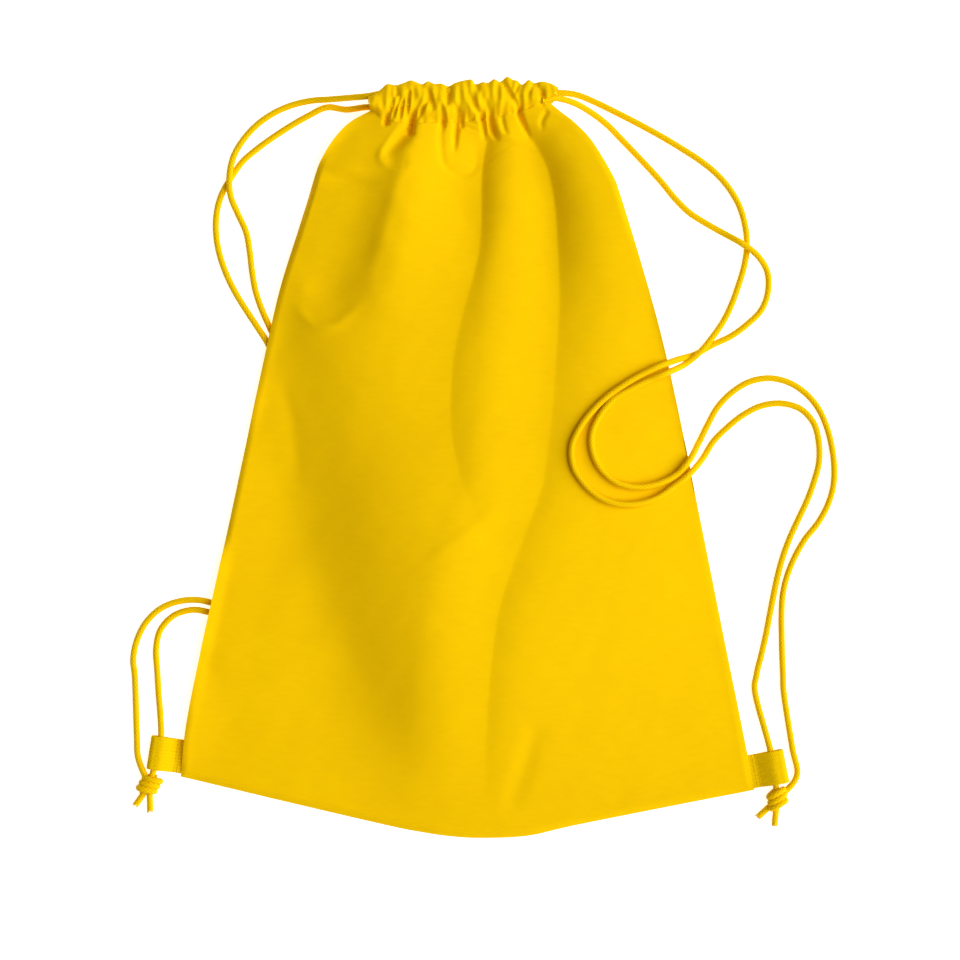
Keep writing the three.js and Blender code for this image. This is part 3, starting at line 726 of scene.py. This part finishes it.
class Nodes:
    """A material's node tree, with short ways to add to it."""

    def __init__(self, name):
        self.material = bpy.data.materials.new(name)
        self.material.use_nodes = True
        self.tree = self.material.node_tree
        self.shader = self.tree.nodes["Principled BSDF"]

    def link(self, source, target):
        self.tree.links.new(source, target)

    def math(self, operation, *values):
        node = self.tree.nodes.new("ShaderNodeMath")
        node.operation = operation
        for socket, value in zip(node.inputs, values):
            if isinstance(value, (int, float)):
                socket.default_value = value
            else:
                self.link(value, socket)
        return node.outputs[0]

    def total(self, first, share, second, second_share):
        """The sum of two values, each times its share."""
        return self.math("MULTIPLY_ADD", first, share, self.math("MULTIPLY", second, second_share))

    def noise(self, place, scale, detail=3.0, stretch=(1, 1, 1), turn=0.0):
        mapping = self.tree.nodes.new("ShaderNodeMapping")
        mapping.inputs["Scale"].default_value = stretch
        mapping.inputs["Rotation"].default_value = (0, 0, turn)
        self.link(place, mapping.inputs["Vector"])
        node = self.tree.nodes.new("ShaderNodeTexNoise")
        node.inputs["Scale"].default_value = scale
        node.inputs["Detail"].default_value = detail
        self.link(mapping.outputs[0], node.inputs["Vector"])
        return node.outputs[0]

    def place(self, kind):
        return self.tree.nodes.new("ShaderNodeTexCoord").outputs[kind]

    def split(self, vector):
        node = self.tree.nodes.new("ShaderNodeSeparateXYZ")
        self.link(vector, node.inputs[0])
        return node.outputs[0], node.outputs[1]

    def mix(self, amount, first, second):
        """A colour between two, by an amount from 0 to 1."""
        node = self.tree.nodes.new("ShaderNodeMix")
        node.data_type = "RGBA"
        self.link(amount, node.inputs["Factor"])
        for socket, value in zip((node.inputs["A"], node.inputs["B"]), (first, second)):
            socket = next(s for s in node.inputs if s.type == "RGBA" and s.name == socket.name)
            if isinstance(value, tuple):
                socket.default_value = (*value, 1)
            else:
                self.link(value, socket)
        return next(s for s in node.outputs if s.type == "RGBA")

    def spread(self, value, low, high, to_low, to_high):
        node = self.tree.nodes.new("ShaderNodeMapRange")
        self.link(value, node.inputs["Value"])
        node.inputs["From Min"].default_value = low
        node.inputs["From Max"].default_value = high
        node.inputs["To Min"].default_value = to_low
        node.inputs["To Max"].default_value = to_high
        return node.outputs[0]

    def finish(self, color, height, bump_distance, roughness, sheen):
        self.link(color, self.shader.inputs["Base Color"])
        self.link(roughness, self.shader.inputs["Roughness"])
        bump = self.tree.nodes.new("ShaderNodeBump")
        bump.inputs["Distance"].default_value = bump_distance
        bump.inputs["Strength"].default_value = 1.0
        self.link(height, bump.inputs["Height"])
        self.link(bump.outputs[0], self.shader.inputs["Normal"])
        self.shader.inputs["Sheen Weight"].default_value = sheen
        self.shader.inputs["Sheen Roughness"].default_value = 0.4
        self.shader.inputs["Sheen Tint"].default_value = (1, 0.7, 0.02, 1)
        self.shader.inputs["Specular IOR Level"].default_value = 0.03
        return self.material


THREAD_SPACING = 0.00062  # of the bag's cloth
RIB_SPACING = 0.002  # of the webbing


def cloth_material():
    """Plain-weave polyester: crossing threads, faint slubs, and uneven dye."""
    n = Nodes("cloth")
    place = n.place("Object")
    x, y = n.split(place)
    turns = 2 * math.pi / THREAD_SPACING
    warp = n.math("SINE", n.math("MULTIPLY", x, turns))
    weft = n.math("SINE", n.math("MULTIPLY", y, turns))
    weave = n.math("MULTIPLY_ADD", n.math("MULTIPLY", warp, weft), 0.5, 0.5)
    slubs = n.noise(place, 900, 2, stretch=(0.5, 1, 1), turn=0.02)
    twill = n.noise(place, 420, 2, stretch=(0.3, 1, 1), turn=math.radians(38))
    mottle = n.noise(place, 22, 4)
    patches = n.noise(place, 7, 3)
    tone = n.total(n.total(mottle, 0.5, twill, 0.5), 0.7, patches, 0.3)
    color = n.mix(n.spread(tone, 0.36, 0.64, 0, 1), (0.912, 0.54, 0.0), (0.955, 0.585, 0.0))
    color = n.mix(n.spread(weave, -0.6, 0.6, 0, 0.06), color, (0.84, 0.45, 0.0))
    height = n.total(weave, 0.6, slubs, 0.4)
    roughness = n.spread(mottle, 0.3, 0.7, 0.74, 0.84)
    return n.finish(color, height, 0.00008, roughness, sheen=0.12)


def webbing_material():
    """Ribbed polyester webbing: ribs along the strip, with a pick across each."""
    n = Nodes("webbing")
    across, along = n.split(n.place("UV"))
    ribs = n.math("SINE", n.math("MULTIPLY", across, 2 * math.pi))
    picks = n.math("SINE", n.math("MULTIPLY", along, 2 * math.pi))
    shifted = n.math("MULTIPLY", ribs, picks)
    fuzz = n.noise(n.place("Object"), 1400, 3)
    height = n.total(shifted, 0.6, fuzz, 0.7)
    shade = n.total(ribs, 0.3, shifted, 0.2)
    color = n.mix(n.spread(shade, -0.4, 0.4, 0, 1), (0.89, 0.54, 0.0), (0.95, 0.62, 0.0))
    roughness = n.spread(fuzz, 0.3, 0.7, 0.66, 0.8)
    return n.finish(color, height, 0.0002, roughness, sheen=0.1)


def cord_material():
    """Braided cord, with painted shade where the yarns cross and a painted highlight along each
    yarn's middle.
    """
    n = Nodes("cord")
    around, along = n.split(n.place("UV"))
    one_way = n.math("MULTIPLY", n.math("ADD", around, along), math.pi)
    other_way = n.math("MULTIPLY", n.math("SUBTRACT", around, along), math.pi)
    first = n.math("ABSOLUTE", n.math("SINE", one_way))
    second = n.math("ABSOLUTE", n.math("SINE", other_way))
    yarns = n.math("SQRT", n.math("MULTIPLY", first, second))
    strands = n.math("SINE", n.math("MULTIPLY", n.math("ADD", one_way, other_way), 3.0))
    fuzz = n.noise(n.place("Object"), 1800, 3)
    height = n.math("ADD", yarns, n.total(strands, 0.12, fuzz, 0.25))
    # painted shade and highlight: the colour darkens in the gaps where yarns cross and lightens
    # along each yarn's raised middle
    color = n.mix(n.spread(yarns, 0.15, 0.8, 0, 1), (0.88, 0.46, 0.0), (0.97, 0.62, 0.0))
    roughness = n.spread(fuzz, 0.3, 0.7, 0.58, 0.74)
    return n.finish(color, height, 0.00018, roughness, sheen=0.1)


def thread_material():
    """Sewing thread with a slight twist."""
    n = Nodes("thread")
    fuzz = n.noise(n.place("Object"), 2500, 2, stretch=(1, 0.3, 1), turn=0.6)
    color = n.mix(n.spread(fuzz, 0.3, 0.7, 0, 1), (0.80, 0.49, 0.0), (0.93, 0.62, 0.01))
    roughness = n.spread(fuzz, 0.3, 0.7, 0.5, 0.65)
    return n.finish(color, fuzz, 0.0001, roughness, sheen=0.05)


CLOTH = cloth_material()
WEBBING = webbing_material()
CORD = cord_material()
THREAD = thread_material()


def dressed(piece, material):
    piece.data.materials.append(material)
    return piece


# ---- the bag's cloth ----

front_points, front_panel_rows = front_cloth_points()
rear_points = rear_cloth_points()


def add_cloth(name, points, nodes):
    piece = dressed(grid_object(name, points * MM), CLOTH)
    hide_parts(*nodes)
    return piece


front = add_cloth("front_cloth", front_points, ("front_panel", "front_casing"))
rear = add_cloth("rear_cloth", rear_points, ("rear_panel", "rear_casing"))

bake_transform(front)
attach(rear, "bag")

# ---- cords ----

CLIMB_EARLY = 0.009  # a cord reaches the height of what it climbs this far before it
CLIMB_EASE = 0.005
LAID_STEP = 0.0015
LAID_EVERY = 8  # the strand's curve runs through every eighth of these points
LAID_GAP = 0.0001
TURN_STEPS = 60


def tree_of(points):
    """What a ray can hit: the cloth from a grid of points in millimetres."""
    faces = grid_faces(*points.shape[:2])
    return BVHTree.FromPolygons((points * MM).reshape(-1, 3).tolist(), faces)


front_tree = tree_of(front_points[:front_panel_rows])


def top_under_cord(x, y):
    """The highest the front cloth comes under a cord at a place, or 0 beside the bag."""
    reach = CORD_RADIUS
    spots = [(0, 0), (reach, 0), (-reach, 0), (0, reach), (0, -reach)]
    tops = [0.0]
    for dx, dy in spots:
        hit = front_tree.ray_cast(Vector((x + dx, y + dy, 0.1)), Vector((0, 0, -1)))[0]
        if hit is not None:
            tops.append(hit.z)
    return max(tops)


def over_reach(values, reach, how):
    padded = np.pad(values, reach, mode="edge")
    return np.array([how(padded[i:i + 2 * reach + 1]) for i in range(len(values))])


def laid(route, on_cloth):
    """A route's points in space, on the floor or draped over the front cloth."""
    samples = curve_through(route, LAID_STEP)
    heights = np.zeros(len(samples))
    if on_cloth:
        heights = np.array([top_under_cord(x, y) for x, y, _ in samples])
        heights = over_reach(heights, round(CLIMB_EARLY / LAID_STEP / 2), np.max)
        heights = over_reach(heights, round(CLIMB_EASE / LAID_STEP), np.mean)
    lifts = np.maximum(samples[:, 2], 0)
    samples[:, 2] = CORD_RADIUS + YARN_OUT + LAID_GAP + heights + lifts
    return samples


def add_cord(name, path, nodes):
    piece = dressed(braided_tube(name, path), CORD)
    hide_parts(*nodes)
    return piece


def strand_path(exit, route, tab_points, knot, on_cloth):
    """A strand from its casing to its knot."""
    body = laid(route, on_cloth)[::LAID_EVERY]
    path = curve_through(np.vstack([exit, body[:-1], *tab_points, knot]), CORD_STEP)
    path[:, 2] = np.maximum(path[:, 2], CORD_RADIUS + YARN_OUT)
    return path


def cut_at(path, y):
    """A path's two parts, above and below a height on the bag that it first passes."""
    i = int(np.argmax(path[:, 1] < y))
    return path[:i + 1], path[i:]


LOOSE_SPLIT = 0.186  # y at which the front strands are made in two parts


def add_side_cords(side, exits, routes, tab_points, knot, on_cloth):
    """Both strands of one cord, from the mouth to the knot at the corner."""
    front_path = strand_path(exits[0], routes[0], tab_points[0], knot, on_cloth)
    rear_path = strand_path(exits[1], routes[1], tab_points[1], knot, on_cloth)
    upper_path, lower_path = cut_at(front_path, LOOSE_SPLIT)

    upper = add_cord(f"{side}_front_strand_upper", upper_path, [f"{side}_cord_front_strand"])
    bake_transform(upper)

    nodes = [f"{side}_cord_front_strand", f"{side}_cord_through_tab"]
    lower = add_cord(f"{side}_front_strand_lower", lower_path, nodes)
    nodes = [f"{side}_cord_rear_strand", f"{side}_cord_beside_tab"]
    whole = add_cord(f"{side}_rear_strand", rear_path, nodes)
    for piece in (lower, whole):
        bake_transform(piece)


def add_casing_runs(side, exits, far_ends):
    """A cord's hidden stretches: along the front casing, round at its far end, and back."""
    front_run = resample([exits[0], far_ends[0]], CORD_STEP * 2)
    rear_run = resample([exits[1], far_ends[1]], CORD_STEP * 2)
    start = np.array(far_ends[0])
    end = np.array(far_ends[1])
    middle = (start + end) / 2
    outward = math.copysign(1, start[0])
    radius = np.linalg.norm(start - end) / 2
    steps = np.linspace(0, math.pi, TURN_STEPS)
    turn = middle + np.cos(steps)[:, None] * (start - middle)
    turn[:, 0] += outward * radius * np.sin(steps)
    run = add_cord(f"{side}_front_run", front_run, [f"{side}_cord_front_run"])
    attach(run, "mouth_front")
    run = add_cord(f"{side}_rear_run", rear_run, [f"{side}_cord_rear_run"])
    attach(run, "bag")
    run = add_cord(f"{side}_turn", turn, [f"{side}_cord_turn"])
    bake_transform(run)


# ---- knots ----

WRAP_ACROSS = 4.6
WRAP_OFFSETS = (-3.4, 0, 3.4)  # where the knot's turns lie along the strands
WRAP_DEEP = 2.9
WRAP_STEPS = 40
WRAP_FROM = -0.75 * math.pi
WRAP_TO = 1.6 * math.pi
WRAP_LEAN = 0.42
WRAP_ADVANCE = 0.35  # along the strands, for each radian round them
TAIL_START = 0.0042
TAIL_MIDDLE = 0.00048  # how far a tail's middle is off the floor
HAIR_COUNT = 26
HAIR_RADIUS = 0.00011


def wrap_points(offset):
    """One turn of cord round the knot, leaning across it."""
    angle = np.linspace(WRAP_FROM, WRAP_TO, WRAP_STEPS)
    x = WRAP_ACROSS * np.cos(angle)
    z = WRAP_DEEP * np.sin(angle)
    y = offset + WRAP_LEAN * x + WRAP_ADVANCE * angle
    return np.column_stack([x, y, z])


def frayed_end(name, path, seed):
    """The loose filaments at a cord's cut end, as one mesh."""
    rng = np.random.default_rng(seed)
    tip = path[-1]
    along = path[-1] - path[-12]
    along /= np.linalg.norm(along)
    side = np.cross(along, (0, 0, 1))
    hairs = []
    for _ in range(HAIR_COUNT):
        angle = rng.random() * 2 * math.pi
        out = CORD_RADIUS * (0.35 + 0.55 * rng.random())
        offset = out * (math.cos(angle) * side + math.sin(angle) * np.array([0, 0, 1]))
        length = 0.0009 + 0.0013 * rng.random()
        flare = along + offset / CORD_RADIUS * 0.35
        start = tip + offset - along * 0.0006
        hairs.append((start, start + flare * length, HAIR_RADIUS))
    return threads(name, hairs)


THREAD_SIDES = 6
# A thread's rings of points: (share of its length, share of its radius).
THREAD_RINGS = [(0, 0.5), (0.2, 1), (0.8, 1), (1, 0.5)]


def threads(name, lines):
    """Many short straight threads as one mesh: (start, end, radius) each."""
    last = THREAD_SIDES * (len(THREAD_RINGS) - 1)
    shape = grid_faces(len(THREAD_RINGS), THREAD_SIDES, closed=True)
    shape += [list(range(THREAD_SIDES))[::-1], list(range(last, last + THREAD_SIDES))]
    points = []
    faces = []
    for start, end, radius in lines:
        run = (end - start) / np.linalg.norm(end - start)
        first = np.cross(run, (0.3, 0.2, 1))
        first /= np.linalg.norm(first)
        second = np.cross(run, first)
        faces += [[len(points) + corner for corner in face] for face in shape]
        for along, share in THREAD_RINGS:
            spot = start * (1 - along) + end * along
            for angle in np.arange(THREAD_SIDES) * 2 * math.pi / THREAD_SIDES:
                out = math.cos(angle) * first + math.sin(angle) * second
                points.append((spot + out * radius * share).tolist())
    return mesh_object(name, points, faces)


def add_knot(side, centre, degrees, tips):
    """The overhand knot in both strands, its two tails, and their frayed ends."""
    pieces = []
    for i, offset in enumerate(WRAP_OFFSETS):
        path = resample(turned(wrap_points(offset), centre, degrees), CORD_STEP)
        pieces.append(add_cord(f"{side}_knot_wrap_{i + 1}", path, [f"{side}_knot"]))
    for i, (x, y) in enumerate(tips):
        inside = np.array([centre[0], centre[1], TAIL_START])
        tip = np.array([x, y, CORD_RADIUS + LAID_GAP])
        middle = inside * 0.45 + tip * 0.55
        middle[2] = CORD_RADIUS + TAIL_MIDDLE
        path = curve_through([inside, middle, tip], CORD_STEP)
        pieces.append(add_cord(f"{side}_tail_end_{i + 1}", path, [f"{side}_tail_{i + 1}"]))
        fray = frayed_end(f"{side}_tail_fray_{i + 1}", path, seed=i + round(abs(x) * 1000))
        pieces.append(dressed(fray, THREAD))
    for piece in pieces:
        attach(piece, f"{side}_corner")
    return pieces


left_knot_pieces = add_knot("left", LEFT_KNOT, -30, LEFT_TAIL_TIPS)
right_knot_pieces = add_knot("right", RIGHT_KNOT, 12, RIGHT_TAIL_TIPS)

add_side_cords(
    "left", (LEFT_FRONT_EXIT, LEFT_REAR_EXIT), (LEFT_FRONT_ROUTE, LEFT_REAR_ROUTE),
    (LEFT_THROUGH, LEFT_BESIDE), LEFT_KNOT, on_cloth=False,
)
add_side_cords(
    "right", (RIGHT_FRONT_EXIT, RIGHT_REAR_EXIT), (RIGHT_FRONT_ROUTE, RIGHT_REAR_ROUTE),
    (RIGHT_THROUGH, RIGHT_BESIDE), RIGHT_KNOT, on_cloth=True,
)
add_casing_runs(
    "left", (LEFT_FRONT_EXIT, LEFT_REAR_EXIT), (LEFT_FRONT_FAR_END, LEFT_REAR_FAR_END),
)
add_casing_runs(
    "right", (RIGHT_FRONT_EXIT, RIGHT_REAR_EXIT), (RIGHT_FRONT_FAR_END, RIGHT_REAR_FAR_END),
)

# ---- webbing tabs ----

WEBBING_THICK = 1.1
TAB_WIDTH = 20
TAB_STEP = 0.35
TAB_COLUMNS = 101
TAB_OFF_FLOOR = 0.02
LOOP_CLEAR = 4.7
RIB_RELIEF = 0.08
PICK_SPACING = 1.1
EDGE_SHARPNESS = 40  # how squarely the strip's thickness ends at its edges
TAB_STITCH_ROWS = (1.2, 3.2)  # distances from the seam
TAB_STITCH_RADIUS = 0.22


def tab_line(length):
    """The strip's middle line, from the seam round the fold and back: (out, up)."""
    radius = (LOOP_CLEAR + WEBBING_THICK) / 2
    low = WEBBING_THICK / 2 + TAB_OFF_FLOOR
    fold = length - radius - WEBBING_THICK / 2
    round_fold = [
        (fold + radius * math.sin(a), low + radius - radius * math.cos(a))
        for a in np.linspace(0, math.pi, 9)
    ]
    top = [(0.72 * fold, low + 2 * radius - 0.1), (5.5, low + 2.4), (3, low + 1.25)]
    return [(-1.5, low), (3, low), (0.6 * fold, low), *round_fold, *top, (-1.5, low + 1.12)]


def tab_stitches(path):
    """The two rows of stitches on top of the strip: (start, end) each, in its own frame."""
    top = path[len(path) - round(7 / TAB_STEP):][::-1]
    return [
        [(out, width + end, np.interp(out, *top.T) + WEBBING_THICK / 2 + 0.1) for end in (-0.8, 0.8)]
        for out in TAB_STITCH_ROWS
        for width in np.arange(-8.8, 8.81, 2.2)
    ]


def add_tab(side, length, seam, degrees):
    path = curve_through([(out, 0, up) for out, up in tab_line(length)], TAB_STEP)[:, [0, 2]]
    forward = np.gradient(path, axis=0)
    forward /= np.linalg.norm(forward, axis=1)[:, None]
    normal = np.column_stack([-forward[:, 1], forward[:, 0]])
    across = np.linspace(-0.5, 0.5, TAB_COLUMNS) * TAB_WIDTH
    ribs = RIB_RELIEF * np.cos(2 * math.pi * across / (RIB_SPACING / MM))
    edge = np.sqrt(np.clip(1 - (np.abs(across) / (TAB_WIDTH / 2)) ** EDGE_SHARPNESS, 0, 1))
    half = (WEBBING_THICK / 2 + ribs) * (0.35 + 0.65 * edge)
    faces = []
    for widths, halves in ((across, half), (across[::-1], -half[::-1])):
        spots = path[:, None] + halves[None, :, None] * normal[:, None]
        width = np.broadcast_to(widths, spots.shape[:2])
        faces.append(np.stack([spots[..., 0], width, spots[..., 1]], axis=-1))
    ring = np.concatenate(faces, axis=1)
    ring[..., 2] = np.maximum(ring[..., 2], TAB_OFF_FLOOR)
    points = turned(ring.reshape(-1, 3), seam, degrees).reshape(ring.shape)
    widths = np.concatenate([across, across[::-1], across[:1]]) * MM / RIB_SPACING
    lengths = along_length(path)[:, None] / PICK_SPACING
    uv = np.stack(np.broadcast_arrays(widths[None, :], lengths), axis=-1)
    tab = dressed(grid_object(f"{side}_webbing_tab", points, uv), WEBBING)
    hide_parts(f"{side}_tab")
    radius = TAB_STITCH_RADIUS * MM
    rows = [(*turned(ends, seam, degrees), radius) for ends in tab_stitches(path)]
    stitches = dressed(threads(f"{side}_tab_stitches", rows), THREAD)
    for piece in (tab, stitches):
        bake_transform(piece)


add_tab("left", 19.4, (-0.1698, -0.1769, 0), 171)
add_tab("right", 20, (0.17, -0.1858, 0), 11)

# ---- stitching ----

STITCH_SPACING = 2.4
STITCH_LENGTH = 1.7
STITCH_RADIUS = 0.16
STITCH_LIFT = 0.12


def stitch_line(name, line):
    """A row of machine stitches along a line of points, in millimetres."""
    reached = along_length(line)
    rows = []
    for start in np.arange(STITCH_SPACING, reached[-1] - STITCH_SPACING, STITCH_SPACING):
        ends = [
            np.array([np.interp(at, reached, axis) for axis in line.T]) + (0, 0, STITCH_LIFT)
            for at in (start, start + STITCH_LENGTH)
        ]
        rows.append((ends[0] * MM, ends[1] * MM, STITCH_RADIUS * MM))
    return dressed(threads(name, rows), THREAD)


front_stitches = stitch_line("front_casing_stitches", front_points[front_panel_rows - 1])
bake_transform(front_stitches)

# ---- floor, light and finish ----

KEY_ELEVATION = 42
KEY_TURN = -6
KEY_DISTANCE = 8
KEY_POWER = 1080
KEY_SIZE = 10
WORLD_STRENGTH = 0.22
FLOOR_HALF = 12
FLOOR_SHADE = 0.9
FLOOR_GLOW = 0.7


def add_floor():
    corners = FLOOR_HALF * np.array([[(-1, -1, 0), (1, -1, 0)], [(-1, 1, 0), (1, 1, 0)]])
    floor = grid_object("floor", corners)
    n = Nodes("floor")
    n.shader.inputs["Base Color"].default_value = (FLOOR_SHADE, FLOOR_SHADE, FLOOR_SHADE, 1)
    n.shader.inputs["Roughness"].default_value = 1.0
    n.shader.inputs["Specular IOR Level"].default_value = 0.0
    n.shader.inputs["Emission Color"].default_value = (1, 1, 1, 1)
    n.shader.inputs["Emission Strength"].default_value = FLOOR_GLOW
    floor.data.materials.append(n.material)


def add_light():
    data = bpy.data.lights.new("key", "AREA")
    data.energy = KEY_POWER
    data.size = KEY_SIZE
    key = bpy.data.objects.new("key", data)
    bpy.context.collection.objects.link(key)
    level = math.radians(KEY_ELEVATION)
    turn = math.radians(KEY_TURN)
    place = Vector((
        math.cos(level) * math.cos(turn), math.cos(level) * math.sin(turn), math.sin(level),
    )) * KEY_DISTANCE
    key.location = place
    key.rotation_euler = place.to_track_quat("Z", "Y").to_euler()
    world = bpy.data.worlds.new("studio")
    world.use_nodes = True
    background = world.node_tree.nodes["Background"]
    background.inputs["Color"].default_value = (1, 1, 1, 1)
    background.inputs["Strength"].default_value = WORLD_STRENGTH
    bpy.context.scene.world = world
    bpy.context.scene.view_settings.view_transform = "Standard"


add_floor()
add_light()
